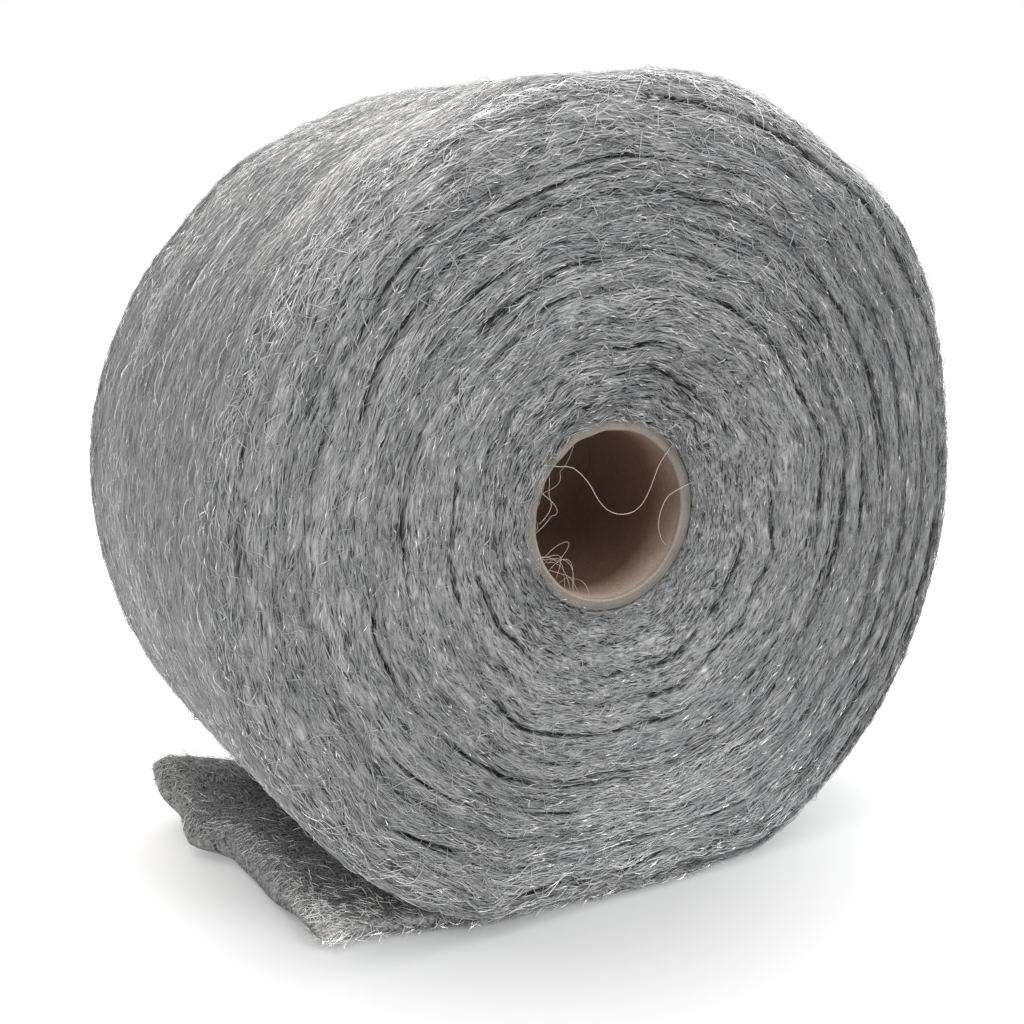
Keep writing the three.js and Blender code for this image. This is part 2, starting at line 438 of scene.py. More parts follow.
# radius of the roll's outside
def outerRadius(share):
    radius = spiralStart + (rollForm["turns"] + share * (1 - rollForm["thinning"])) * rollForm["pitch"]
    swell = sum(height * np.exp(-((share - middle) / reach) ** 2) for middle, reach, height in bulges)
    return radius + swell


# how far the floor presses the outside in, easing off past the ends of the flat
def floorPush(share):
    downward = np.maximum(-upward(share), 1e-6)
    past = rollRadius - (axisHeight + rollForm["press"]) / downward
    return (past + np.hypot(past, 2 * rollForm["press"])) / 2


# turn number at a radius; whole numbers are the grooves between turns
def turnAt(radius, share):
    return (radius - spiralStart) / rollForm["pitch"] - share


# how far the wool waves off the winding at a place across it
def flowAt(across, share):
    field = woundField(share, rollForm["flowAlong"], across / rollForm["flowAcross"])
    return rollForm["flow"] * ripple(field, seed=33, waves=24)


# the right of the roll, where its turns lie smooth
def calmAt(radius, share):
    return smoothStep(-radius * leftward(share), *creviceForm["calmFrom"])


# soft shade along the joints between turns
def turnShade(radius, share):
    turn = turnAt(radius - flowAt(radius, share), share)
    nearest = np.round(turn)
    field = woundField(share, creviceForm["shadeAlong"], (nearest + share) * creviceForm["shadeAcross"])
    least = creviceForm["shadeLeast"]
    amount = smoothStep(ripple(field, seed=7), *creviceForm["shadeBroken"])
    amount = amount * (least + (1 - least) * calmAt(radius, share))
    across = (turn - nearest) * rollForm["pitch"]
    return amount * np.exp(-(across / creviceForm["shadeReach"]) ** 2) * (nearest > 0)


# depth of the broken grooves between turns
def grooveDepth(radius, share):
    radius = radius - flowAt(radius, share)
    turn = turnAt(radius, share)
    nearest = np.round(turn)
    calm = calmAt(radius, share)
    arcs = woundField(share, creviceForm["arcsAlong"], (nearest + share) * creviceForm["arcsAcross"])
    dashes = woundField(share, creviceForm["dashesAlong"], (nearest + share) * creviceForm["dashesAcross"])
    broken = creviceForm["arcs"] * ripple(arcs, seed=5)
    broken = broken + creviceForm["dashes"] * ripple(dashes, seed=6) * (1 - creviceForm["calmDashes"] * calm)
    left = smoothStep(radius * leftward(share), *creviceForm["leftFrom"])
    broken = broken + creviceForm["calm"] * calm - creviceForm["left"] * left
    amount = smoothStep(broken, *creviceForm["broken"])
    depth = creviceForm["depth"] * (creviceForm["least"] + (1 - creviceForm["least"]) * amount)
    across = np.abs(turn - nearest) * rollForm["pitch"]
    total = depth * np.exp(-(across / creviceForm["reach"]) ** 2) * (nearest > 0)
    for middleRadius, middle, reach, deep in splits:
        along = (share - middle + 0.5) % 1 - 0.5
        away = radius - middleRadius - rollForm["pitch"] * along
        total = total + deep * np.exp(-(along / reach) ** 2 - (away / creviceForm["splitReach"]) ** 2)
    return total


# the same as a share of a plain groove's depth
def grooveShare(radius, share):
    return grooveDepth(radius, share) / creviceForm["depth"]


# sideways stray of the turn at a place
def strayAt(radius, share):
    turn = turnAt(radius, share)
    whole = np.floor(turn)
    waves = rollForm["wanderWaves"] * fullTurn
    here = np.sin(waves * (whole + share))
    after = np.sin(waves * (whole + 1 + share))
    return rollForm["wander"] * (here + (after - here) * smoothStep(turn - whole, rollForm["wanderStep"], 1))


# The roll's skin. Across runs in metres from the inner end of the front rim: negative on the front face,
# then over the front rim, along the side, over the back rim and in along the back face.
def rollSkin(across, share, lift=0.0):
    front, back = rollForm["frontRim"], rollForm["backRim"]
    outside = outerRadius(share)
    tilt = np.clip(across / front, 0, math.pi / 2)
    bent = np.clip((across - frontArc - sideSpan) / back, 0, math.pi / 2)
    beyond = np.maximum(across - frontArc - sideSpan - backArc, 0)
    onBack = bent > 0
    radius = np.where(onBack, outside - back * (1 - np.cos(bent)) - beyond,
                      outside - front * (1 - np.sin(tilt)) + np.minimum(across, 0))
    along = np.where(onBack, halfStrip - back * (1 - np.sin(bent)),
                     front * (1 - np.cos(tilt)) - halfStrip + np.clip(across - frontArc, 0, sideSpan))
    outward = np.where(onBack, np.cos(bent), np.sin(tilt))
    aside = np.where(onBack, np.sin(bent), -np.cos(tilt))
    radius = np.maximum(radius, innerRadius - rollForm["overhang"])
    dish = coreDish * (1 - smoothStep(radius, coreRadius, coreRadius + rollForm["dishReach"]))
    lumpsAcross = radius / rollForm["lumpsOut"], along / rollForm["lumpsAside"]
    lumps = rollForm["lumps"] * ripple(woundField(share, rollForm["lumpsAlong"], *lumpsAcross), seed=11)
    height = lift + lumps - grooveDepth(radius, share) * np.abs(aside)
    stray = strayAt(np.minimum(radius, outside - rollForm["lastTurn"]), share)
    along = along - aside * dish + stray + aside * height
    softness = np.maximum(radius - innerRadius, 0) / (rollRadius - innerRadius)
    settled = radius - floorPush(share) * softness ** 2 + outward * height
    points = roundAxis(settled, along, share)
    points[..., 2] = np.maximum(points[..., 2], 0.0)
    return points, roundAxis(outward, aside, share, centre=0.0), radius


# rows of the roll's section, one list of across values for each share
def rollRows(share):
    outside = outerRadius(share)[:, None]
    frontReach = outside - rollForm["frontRim"] - innerRadius
    frontFace = -frontReach * np.linspace(1, 0, rollForm["faceRows"], endpoint=False)
    sideEnd = frontArc + sideSpan
    middle = np.concatenate([
        np.linspace(0, frontArc, rollForm["rimRows"], endpoint=False),
        np.linspace(frontArc, sideEnd, rollForm["sideRows"], endpoint=False),
        np.linspace(sideEnd, sideEnd + backArc, rollForm["backRimRows"], endpoint=False),
    ])
    middle = np.repeat(middle[None], len(share), 0)
    backReach = outside - rollForm["backRim"] - innerRadius
    backFace = sideEnd + backArc + backReach * np.linspace(0, 1, rollForm["backRows"])
    return np.concatenate([frontFace, middle, backFace], 1)


def makeRoll():
    share = np.arange(rollForm["columns"]) / rollForm["columns"]
    across = rollRows(share)
    shares = np.repeat(share[:, None], across.shape[1], 1)
    points, normals, radius = rollSkin(across, shares, -rollForm["sink"])
    lining = np.linspace(points[:, -1], points[:, 0], rollForm["boreRows"] + 2, axis=1)[:, 1:-1]
    points = np.concatenate([points, lining], 1)
    columns, rows = points.shape[:2]
    faces, bakeMap = gridFaces(columns, rows)
    outward = 1 - np.abs(normals[..., 1])
    # painted shade for the base, in the grooves and along the joints between turns, on the faces only
    shade = grooveShare(radius, shares) + creviceForm["shade"] * turnShade(radius, shares)
    deep = np.clip(shade, 0, 1) * np.abs(normals[..., 1])
    plain = np.zeros(lining.shape[:2])
    values = {"side": np.concatenate([outward, plain], 1), "deep": np.concatenate([deep, plain], 1)}
    roll = newPiece("woolRoll", points.reshape(-1, 3), faces, rollMat, bakeMap, values)
    seatPiece(roll, "wool_roll")


makeRoll()


tubeSides = 3
cellMargin = 0.06  # of a cell of the bake map


# triangles of a closed tube along a number of points, with a tip at both ends
def tubeFaces(count, places):
    last = tubeSides * (count - 2) + 1
    faces, marks = [], []
    for side in range(tubeSides):
        low, high = side / tubeSides, (side + 1) / tubeSides
        here = [1 + tubeSides * ring + side for ring in range(count - 2)]
        there = [1 + tubeSides * ring + (side + 1) % tubeSides for ring in range(count - 2)]
        faces.append((0, there[0], here[0]))
        marks.append(((places[0], low), (places[1], high), (places[1], low)))
        for ring in range(count - 3):
            start, end = places[ring + 1], places[ring + 2]
            faces.append((here[ring], there[ring], there[ring + 1]))
            marks.append(((start, low), (start, high), (end, high)))
            faces.append((here[ring], there[ring + 1], here[ring + 1]))
            marks.append(((start, low), (end, high), (end, low)))
        faces.append((last, here[-1], there[-1]))
        marks.append(((places[-1], low), (places[-2], low), (places[-2], high)))
    return np.array(faces), np.array(marks)


# points, faces, bake marks and tones of one kind of fibre: paths and normals are fibres x points x 3
def fibreTubes(paths, normals, thickness, tones, places, flat=1.0):
    fibres, count = paths.shape[:2]
    ahead = unit(np.gradient(paths, axis=1))
    aside = unit(np.cross(normals, ahead))
    above = np.cross(ahead, aside)
    rings = []
    for side in range(tubeSides):
        angle = fullTurn * side / tubeSides + math.pi / 2
        offset = (math.cos(angle) * aside + math.sin(angle) * flat * above) * thickness[:, None, None] / 2
        rings.append(paths + offset)
    tube = np.stack(rings, 2)[:, 1:-1].reshape(fibres, -1, 3)
    points = np.concatenate([paths[:, :1], tube, paths[:, -1:]], 1)
    tone = np.concatenate([tones[:, :1], np.repeat(tones[:, 1:-1], tubeSides, 1), tones[:, -1:]], 1)
    oneFaces, oneMarks = tubeFaces(count, places)
    faces = oneFaces[None] + (np.arange(fibres) * points.shape[1])[:, None, None]
    return points.reshape(-1, 3), faces.reshape(-1, 3), np.repeat(oneMarks[None], fibres, 0), tone.ravel()


# one piece made of several kinds of fibre, with a cell of the bake map for each fibre
def fibrePiece(name, kinds, material, smooth=False):
    points, faces, marks, tones = [], [], [], []
    start, fibre = 0, 0
    cells = math.ceil(math.sqrt(sum(len(kind[0]) for kind in kinds)))
    for kind in kinds:
        kindPoints, kindFaces, kindMarks, kindTones = fibreTubes(*kind)
        index = fibre + np.arange(len(kindMarks))
        corner = np.stack([index % cells, index // cells], -1)[:, None, None]
        marks.append(((corner + cellMargin + (1 - 2 * cellMargin) * kindMarks) / cells).reshape(-1, 2))
        points.append(kindPoints)
        faces.append(kindFaces + start)
        tones.append(kindTones)
        start += len(kindPoints)
        fibre += len(kindMarks)
    points = np.concatenate(points)
    points[:, 2] = np.maximum(points[:, 2], floorGap)
    values = {"tone": np.concatenate(tones)}
    piece = newPiece(name, points, np.concatenate(faces), material, np.concatenate(marks), values, smooth)
    seatPiece(piece, "wool_roll")


# kinds of fibre: points along each, sizes in metres, slopes off the winding in degrees; wild is the share
# of fibres that lie further off the winding, and pull is how much a kind keeps to the grooves
needleForm = dict(
    places=[0.0, 0.5, 1.0], thickness=(0.00016, 0.0003), length=(0.003, 0.008), flat=0.45, long=False,
    spread=11.0, wild=0.25, bend=25.0, twist=0.0, wave=0.03, tip=3.0, rise=0.0003, pull=0.0,
    tone=0.43, toneSpread=0.075, glints=0.055,
)
fuzzForm = dict(
    needleForm, places=[0.0, 0.33, 0.67, 1.0], thickness=(0.0001, 0.00018), length=(0.0025, 0.0065),
    flat=0.8, spread=40.0, wild=0.0, bend=120.0, twist=8000.0, wave=0.02, tip=4.0, rise=0.0004,
    tone=0.57, toneSpread=0.1, glints=0.0,
)
# dark flecks are painted shade: near-black fibres laid along the grooves and the gaps between fibres
shadeFleckForm = dict(
    needleForm, thickness=(0.00016, 0.00032), length=(0.002, 0.007), flat=0.6,
    spread=6.0, wild=0.0, bend=12.0, wave=0.02, tip=2.0, rise=0.00015, pull=1.0,
    tone=0.04, toneSpread=0.04, glints=0.0,
)
strandForm = dict(
    needleForm, places=[0.0, 0.25, 0.5, 0.75, 1.0], thickness=(0.00016, 0.00028), length=(0.007, 0.014),
    flat=0.6, long=True, spread=4.0, wild=0.1, bend=8.0, twist=900.0, wave=0.012, tip=1.0, rise=0.0002,
    tone=0.5, toneSpread=0.1, glints=0.0,
)
curlForm = dict(
    needleForm, places=[0.0, 0.2, 0.4, 0.6, 0.8, 1.0], thickness=(0.0001, 0.00017), length=(0.004, 0.01),
    flat=1.0, spread=32.0, wild=0.0, bend=120.0, twist=9000.0, wave=0.006, rise=0.0006,
    tone=0.54, toneSpread=0.12, glints=0.0,
)
# the side's fibres are toned darker than the face's, as painted shade where the lamps light the side more
# strongly
sideNeedleForm = dict(
    needleForm, thickness=(0.00014, 0.00025), length=(0.004, 0.01), spread=8.0, wild=0.18,
    tone=0.372, toneSpread=0.08, glints=0.048,
)
sideFuzzForm = dict(fuzzForm, spread=28.0, tone=0.47, toneSpread=0.11)
# on the side, short dark fibres as painted shade in the gaps
sideShadeFleckForm = dict(
    shadeFleckForm, thickness=(0.00012, 0.0002), length=(0.0025, 0.007), pull=0.0, tone=0.1, toneSpread=0.06,
)
fibreSets = [
    dict(name="frontFibres", zone="front", seed=21, stout=1.0,
         kinds=[(needleForm, 20000), (fuzzForm, 4300), (shadeFleckForm, 5000)]),
    dict(name="frontStrands", zone="front", seed=29, stout=1.0, kinds=[(strandForm, 2600)]),
    dict(name="frontCurls", zone="front", seed=26, stout=1.0, kinds=[(curlForm, 2200)]),
    dict(name="sideFibresLeft", zone="sideLeft", seed=22, stout=1.0,
         kinds=[(sideNeedleForm, 22300), (sideFuzzForm, 3600), (sideShadeFleckForm, 2700)]),
    dict(name="sideFibresRight", zone="sideRight", seed=23, stout=1.2,
         kinds=[(sideNeedleForm, 11000), (sideFuzzForm, 1200), (sideShadeFleckForm, 1000)]),
    dict(name="backFibres", zone="back", seed=24, stout=1.25,
         kinds=[(needleForm, 11500), (fuzzForm, 1500), (shadeFleckForm, 1800)]),
    dict(name="sideCurls", zone="side", seed=25, stout=1.0, kinds=[(curlForm, 1300)]),
    dict(name="backCurls", zone="back", seed=28, stout=1.0, kinds=[(curlForm, 400)]),
    dict(name="mouthCurls", zone="mouth", seed=27, stout=0.8, kinds=[(needleForm, 700), (curlForm, 300)]),
]
zoneForm = dict(
    shares={"sideLeft": (0.02, 0.58), "sideRight": (0.58, 0.98), "side": (0.02, 0.98)},  # clear of the tail
    overRim=0.8, overCore=0.0006,  # how far a face's fibres reach over its rim, and over the core
    mouth=0.0012, mouthLeft=0.0014, leftFrom=(0.2, 0.9), mouthOut=0.003,  # the wool's edge round the core
    curlStart=0.2, curlPower=1.5,  # loose curls on the side, most of them near the front
    sideStart=0.4, sideEnd=0.6,  # where the side's fibres begin and end, in shares of the two rims
)
fleeceForm = dict(
    wildSpread=32.0, tamed=0.65, lie=(-0.00015, 0.0003), tipMost=2.0,
    fullRadius=0.06, shortest=0.4,  # fibres are shorter near the core
    band=0.032, bandAlong=3.0, bandOut=0.0017, bandAcross=0.004,
    streak=0.02, streakAlong=9.0, streakAcross=0.0012,
    grooveShade=0.3, grooveDrop=0.8, dropPower=1.5,  # painted shade darkens fibres in grooves, and few cross them
    tries=8, loose=0.14, deepest=1.5,  # how the dark flecks of painted shade are picked for the grooves
    calm=0.62, calmShade=-0.125,  # the roll's right side is smoother, and painted shade darkens it
    livelyFrom=(0.2, 0.9), lively=0.45, livelyGlints=1.1,  # its top is rougher and has more painted glints
    rimHighlight=0.15, rimHighlightAcross=(-0.012, 0.003), rimHighlightFrom=(0.3, 0.95), topShade=-0.015,  # painted highlight on the top of the front rim, slight painted shade on the top of the side
    lowFrom=(0.02, 0.085), lowBounceLight=0.08,  # painted bounce light lightens strands low on the faces
    coreFrom=(0.026, 0.042), coreShadeGaps=5.0, coreShade=-0.04,  # painted shade in the gaps round the core
    stout=0.3, turnShade=0.25,  # thicker strands at the top and bottom, painted shade on the joints between turns
    palest=0.9, glintTone=0.92, glintLength=0.36, glintThickness=0.85, glintLift=0.0002,  # glints: short fibres of a bright painted tone, glossy as well
    strandCalm=0.6, strandEdge=-0.003,  # long strands at the right, and clear of the rim
    pressedHeight=0.0012, pressedFacing=-0.8,  # fibres under the flat are left out
)


# distances from the axis that fill a ring evenly
def ringSpread(inner, outer, rng):
    return np.sqrt(rng.uniform(inner ** 2, outer ** 2))


# where fibres of a zone have their middles
def zonePlaces(zone, count, rng):
    share = rng.uniform(*zoneForm["shares"].get(zone, (0, 1)), count)
    outside = outerRadius(share)
    if zone == "front":
        reach = outside - rollForm["frontRim"] + zoneForm["overRim"] * frontArc
        spread = ringSpread(innerRadius - zoneForm["overCore"], reach, rng)
        return share, spread - outside + rollForm["frontRim"]
    if zone == "mouth":
        left = smoothStep(leftward(share), *zoneForm["leftFrom"])
        inner = zoneForm["mouth"] + zoneForm["mouthLeft"] * left
        spread = rng.uniform(-inner, zoneForm["mouthOut"])
        return share, innerRadius + spread - outside + rollForm["frontRim"]
    if zone == "back":
        reach = outside - rollForm["backRim"] + zoneForm["overRim"] * backArc
        spread = ringSpread(innerRadius, reach, rng)
        return share, frontArc + sideSpan + backArc + outside - rollForm["backRim"] - spread
    if zone == "side":
        along = rng.uniform(size=count) ** zoneForm["curlPower"]
        return share, zoneForm["curlStart"] * frontArc + (sideSpan + frontArc) * along
    low = zoneForm["sideStart"] * frontArc
    high = frontArc + sideSpan + zoneForm["sideEnd"] * backArc
    return share, rng.uniform(low, high, count)


# slopes of fibres off the winding, in radians; the wild ones lie further off it
def fibreSlopes(form, wild, count, rng):
    spread = np.where(rng.uniform(size=count) < wild, fleeceForm["wildSpread"], form["spread"])
    return np.radians(spread * rng.normal(size=count))


# paths of fibres on a flat sheet, along and aside of their middles
def fibreCurves(form, count, slope, length, rng):
    step = (np.array(form["places"]) - 0.5) * length[:, None]
    curve = rng.normal(size=count)[:, None] * form["bend"] * step ** 2
    curve = curve + rng.normal(size=count)[:, None] * form["twist"] * step ** 3
    curve = curve + rng.normal(size=step.shape) * form["wave"] * length[:, None]
    ahead, aside = np.cos(slope)[:, None], np.sin(slope)[:, None]
    return step, step * ahead - curve * aside, step * aside + curve * ahead


# how far above the skin each point of the fibres stands
def fibreLift(form, count, step, rng):
    arch = np.sin(np.pi * np.array(form["places"]))[None]
    hump = arch * np.abs(rng.normal(size=count))[:, None] * form["rise"]
    tilt = np.clip(rng.normal(size=count), -fleeceForm["tipMost"], fleeceForm["tipMost"])
    tip = np.tan(np.radians(form["tip"]) * tilt)[:, None] * step
    return hump + tip + rng.uniform(*fleeceForm["lie"], count)[:, None]


# how far a place belongs to the core's surround, where painted shade is laid
def nearCore(radius):
    return 1 - smoothStep(radius, *fleeceForm["coreFrom"])


# how far a place belongs to the smooth right, the rough top and the bottom of the roll, where painted shade,
# painted bounce light and glints are laid
def zoneShares(radius, share):
    lively = smoothStep(upward(share), *fleeceForm["livelyFrom"])
    low = smoothStep(-radius * upward(share), *fleeceForm["lowFrom"])
    return calmAt(radius, share), lively, low


# how much the fibres vary at a place
def varyBy(calm, lively):
    return (1 - fleeceForm["calm"] * calm) * (1 + fleeceForm["lively"] * lively)


# places for one kind of fibre; a kind with pull is picked so that most of it lies in the grooves
def pickPlaces(form, zone, count, rng):
    if not form["pull"]:
        return zonePlaces(zone, count, rng)
    share, across = zonePlaces(zone, fleeceForm["tries"] * count, rng)
    radius = rollSkin(across, share)[2]
    # more dark flecks of painted shade at the top, the bottom and round the core
    level = smoothStep(np.abs(upward(share)), *fleeceForm["livelyFrom"])
    loose = fleeceForm["loose"] * (1 + level + fleeceForm["coreShadeGaps"] * nearCore(radius))
    chance = loose + form["pull"] * np.clip(grooveShare(radius, share), 0, fleeceForm["deepest"])
    picked = rng.choice(len(share), count, replace=False, p=chance / chance.sum())
    return share[picked], across[picked]


# keeps fibres to the winding: along the wool's waves, and at their radius where the share starts again
def followWinding(zone, share, sharePath, across, radius, aside):
    if zone in ("front", "mouth", "back"):
        place, turned = radius, -1 if zone == "back" else 1
        grown = outerRadius(sharePath % 1) - outerRadius(share)[:, None]
    else:
        place, turned, grown = across, 1, 0
    flow = flowAt(place[:, None] + turned * aside, sharePath) - flowAt(place, share)[:, None]
    return aside + turned * (flow - grown)


# tones of fibres by their places: soft bands and streaks, with painted shade and painted highlight on the
# roll's parts
def fibreTone(form, share, across, radius, facing, rng):
    calm, lively, low = zoneShares(radius, share)
    free = 1 - form["pull"]
    out = radius / fleeceForm["bandOut"]
    bands = woundField(share, fleeceForm["bandAlong"], out, across / fleeceForm["bandAcross"])
    streaks = woundField(share, fleeceForm["streakAlong"], across / fleeceForm["streakAcross"])
    mottle = form["toneSpread"] * rng.normal(size=len(share))
    mottle = mottle + fleeceForm["band"] * ripple(bands, seed=43) * free
    mottle = mottle + fleeceForm["streak"] * ripple(streaks, seed=41) * free
    # painted highlight on the top of the front rim
    rim = smoothStep(across, *fleeceForm["rimHighlightAcross"])
    rim = rim * smoothStep(upward(share), *fleeceForm["rimHighlightFrom"])
    tone = form["tone"] + mottle * varyBy(calm, lively)
    # painted shade darkens the roll's right side
    tone = tone + fleeceForm["calmShade"] * calm + fleeceForm["rimHighlight"] * rim
    # painted shade round the core, painted bounce light low on the faces
    tone = tone + fleeceForm["coreShade"] * nearCore(radius) + fleeceForm["lowBounceLight"] * low
    # painted shade along the joints between turns, on fibres of the faces
    tone = tone - fleeceForm["turnShade"] * turnShade(radius, share) * facing
    # slight painted shade on the top of the side
    return tone + fleeceForm["topShade"] * lively * (1 - facing)


# the deepest groove that a fibre crosses between its points
def grooveBetween(radius, share, normals):
    deepest = np.zeros(len(radius))
    facing = np.abs(normals[:, 1:, 1] + normals[:, :-1, 1]) / 2
    for part in (0.25, 0.5, 0.75):
        radiusHere = radius[:, :-1] + (radius[:, 1:] - radius[:, :-1]) * part
        shareHere = share[:, :-1] + (share[:, 1:] - share[:, :-1]) * part
        deep = grooveShare(radiusHere, shareHere % 1) * facing
        deepest = np.maximum(deepest, deep.max(1))
    return deepest


# fibres of one kind, laid on the roll's skin
def layFibres(settings, form, count, rng):
    zone = settings["zone"]
    share, across = pickPlaces(form, zone, count, rng)
    radius = rollSkin(across, share)[2]
    calm, lively, low = zoneShares(radius, share)
    bright = np.maximum(lively, low)
    stout = settings["stout"] * (1 + fleeceForm["stout"] * bright)
    wild = form["wild"] * (1 - fleeceForm["tamed"] * np.maximum(low, calm))
    slope = fibreSlopes(form, wild, count, rng)
    # painted glints, partly real gloss, more of them at the top and the bottom
    glints = form["glints"] * varyBy(calm, lively) * (1 + fleeceForm["livelyGlints"] * bright)
    glint = rng.uniform(size=count) < glints
    roomy = np.clip(radius / fleeceForm["fullRadius"], fleeceForm["shortest"], 1.0) ** 0.5
    length = rng.uniform(*form["length"], count) * roomy * stout
    length = np.where(glint, fleeceForm["glintLength"] * length, length)
    step, ahead, aside = fibreCurves(form, count, slope, length, rng)
    sharePath = share[:, None] + ahead / (fullTurn * radius[:, None])
    aside = followWinding(zone, share, sharePath, across, radius, aside)
    lift = fibreLift(form, count, step, rng) + glint[:, None] * fleeceForm["glintLift"]
    paths, normals, radiusPath = rollSkin(across[:, None] + aside, sharePath % 1, lift)
    tone = fibreTone(form, share, across, radius, np.abs(normals[:, 0, 1]), rng)
    tone = np.where(glint, fleeceForm["glintTone"], np.minimum(tone, fleeceForm["palest"]))
    # painted shade on fibres where they lie in grooves
    groove = grooveShare(radiusPath, sharePath % 1) * np.abs(normals[..., 1])
    tones = np.clip(tone[:, None] - fleeceForm["grooveShade"] * groove, 0.0, 1.0)
    thickness = rng.uniform(*form["thickness"], count) * np.where(glint, fleeceForm["glintThickness"], stout)
    crossed = np.maximum(groove.max(1), grooveBetween(radiusPath, sharePath, normals))
    drop = fleeceForm["grooveDrop"] * np.clip(crossed, 0, 1) ** fleeceForm["dropPower"] * (1 - form["pull"])
    keep = rng.uniform(size=count) >= drop
    if form["long"]:  # long strands show at the top, the bottom and the right, and not over the rim
        zoned = np.maximum(bright, fleeceForm["strandCalm"] * calm)
        keep = keep & (rng.uniform(size=count) < zoned) & (across < fleeceForm["strandEdge"])
    underneath = normals[:, 1, 2] < fleeceForm["pressedFacing"]
    keep = keep & ~(underneath & (paths[:, 1, 2] < fleeceForm["pressedHeight"]))  # none lost under the flat
    return paths[keep], normals[keep], thickness[keep], tones[keep], form["places"], form["flat"]


# one piece of fibres; lay is the function that lays each kind of them
def makeFibres(settings, lay):
    rng = np.random.default_rng(settings["seed"])
    laid = [lay(settings, form, count, rng) for form, count in settings["kinds"]]
    fibrePiece(settings["name"], laid, fibreMat)


for fibreSet in fibreSets:
    makeFibres(fibreSet, layFibres)


tailForm = dict(
    root=0.036, reach=0.0848, thin=0.0072, thick=0.0095,
    frontEdge=[(-0.084, 0.0340), (-0.066, 0.0372), (-0.037, 0.0430), (-0.008, 0.0473), (0.008, 0.0488),
               (0.022, 0.0483), (0.036, 0.0445)],  # x, and how far the front edge lies from the middle
    backEdge=[(-0.084, 0.0480), (0.0, 0.0470), (0.036, 0.0450)],
    thinning=[(-0.05, 1.0), (-0.025, 0.85), (-0.005, 0.55), (0.012, 0.38), (0.036, 0.2)],  # under the roll
    torn=[(0.0, 0.0143), (0.12, 0.0126), (0.39, 0.0120), (0.57, 0.0106), (0.655, 0.0040), (0.7, 0.0022),
          (0.75, 0.0034), (0.81, 0.0040), (0.88, 0.0008), (0.95, 0.0), (1.0, 0.0022)],  # see tornShort
    tornSteps=200, tornSoft=4,
    curl=0.0106, curlWidth=(0.68, 0.97), curlLength=(0.045, 0.085),  # lift of the back corner, and where
    square=4.0, sectionSteps=2000,  # a flat section with rounded edges
    endRound=0.006, endBlunt=0.12, endLean=1.2, endLevel=0.45,  # the torn end thins towards this level
    lumps=0.0006, lumpsAlong=0.012, lumpsAcross=0.006, lumpsUp=2.0,
    columns=110, endColumns=24, endFrom=0.9, rows=110, capCorner=0.992, capSize=0.006,
)


# unit section of the tail: y from -1 at the front to 1 at the back, z from 0 to 1, evenly spaced
def tailSection(around):
    angle = np.linspace(0, fullTurn, tailForm["sectionSteps"])
    power = 2 / tailForm["square"]
    y = -np.sign(np.cos(angle)) * np.abs(np.cos(angle)) ** power
    z = 0.5 + 0.5 * np.sign(np.sin(angle)) * np.abs(np.sin(angle)) ** power
    walked = np.cumsum(np.hypot(np.diff(y) * halfStrip, np.diff(z) * tailForm["thick"]))
    walked = np.concatenate([[0], walked])
    place = around * walked[-1]
    return np.interp(place, walked, y), np.interp(place, walked, z)


# how far the torn end stops short at a share of the width, from the front edge to the back edge
def tornShort(share):
    marks, shorts = zip(*tailForm["torn"])
    dense = np.linspace(0, 1, tailForm["tornSteps"])
    raw = np.interp(dense, marks, shorts)
    padded = np.pad(raw, tailForm["tornSoft"], mode="edge")
    window = 2 * tailForm["tornSoft"] + 1
    soft = np.convolve(padded, np.ones(window) / window, mode="valid")
    return np.interp(share, dense, soft)


# the tail's skin: out runs from the root to the torn end, around goes round its section
def tailSkin(out, around, lift=0.0):
    y, z = tailSection(around % 1)
    width = (y + 1) / 2
    end = tornShort(width) - tailForm["reach"]
    x = tailForm["root"] + (end - tailForm["root"]) * out
    front = -np.interp(x, *zip(*tailForm["frontEdge"]))
    back = np.interp(x, *zip(*tailForm["backEdge"]))
    side = front + (back - front) * width
    left = np.maximum((x - end) / tailForm["endRound"], 0)
    blunt = np.sqrt(np.maximum(1 - (1 - np.clip(left, 0, 1)) ** 2, tailForm["endBlunt"]))
    thick = tailForm["thin"] + (tailForm["thick"] - tailForm["thin"]) * width
    thick = thick * np.interp(x, *zip(*tailForm["thinning"]))
    curl = tailForm["curl"] * smoothStep(width, *tailForm["curlWidth"])
    curl = curl * smoothStep(-x, *tailForm["curlLength"])
    marks = [x / tailForm["lumpsAlong"], side / tailForm["lumpsAcross"], z * tailForm["lumpsUp"]]
    height = lift + tailForm["lumps"] * ripple(np.stack(marks, -1), seed=61)
    top = 2 * z - 1
    flat = np.sqrt(np.maximum(1 - np.abs(top) ** 2, 0))
    normals = unit(np.stack([-tailForm["endLean"] * (1 - blunt), np.sign(y) * flat, top + 1e-6], -1))
    level = tailForm["endLevel"]
    points = np.stack([x, side, curl + thick * (level + (z - level) * blunt)], -1)
    points = points + normals * height[..., None]
    points[..., 2] = np.maximum(points[..., 2], floorGap)
    return points, normals


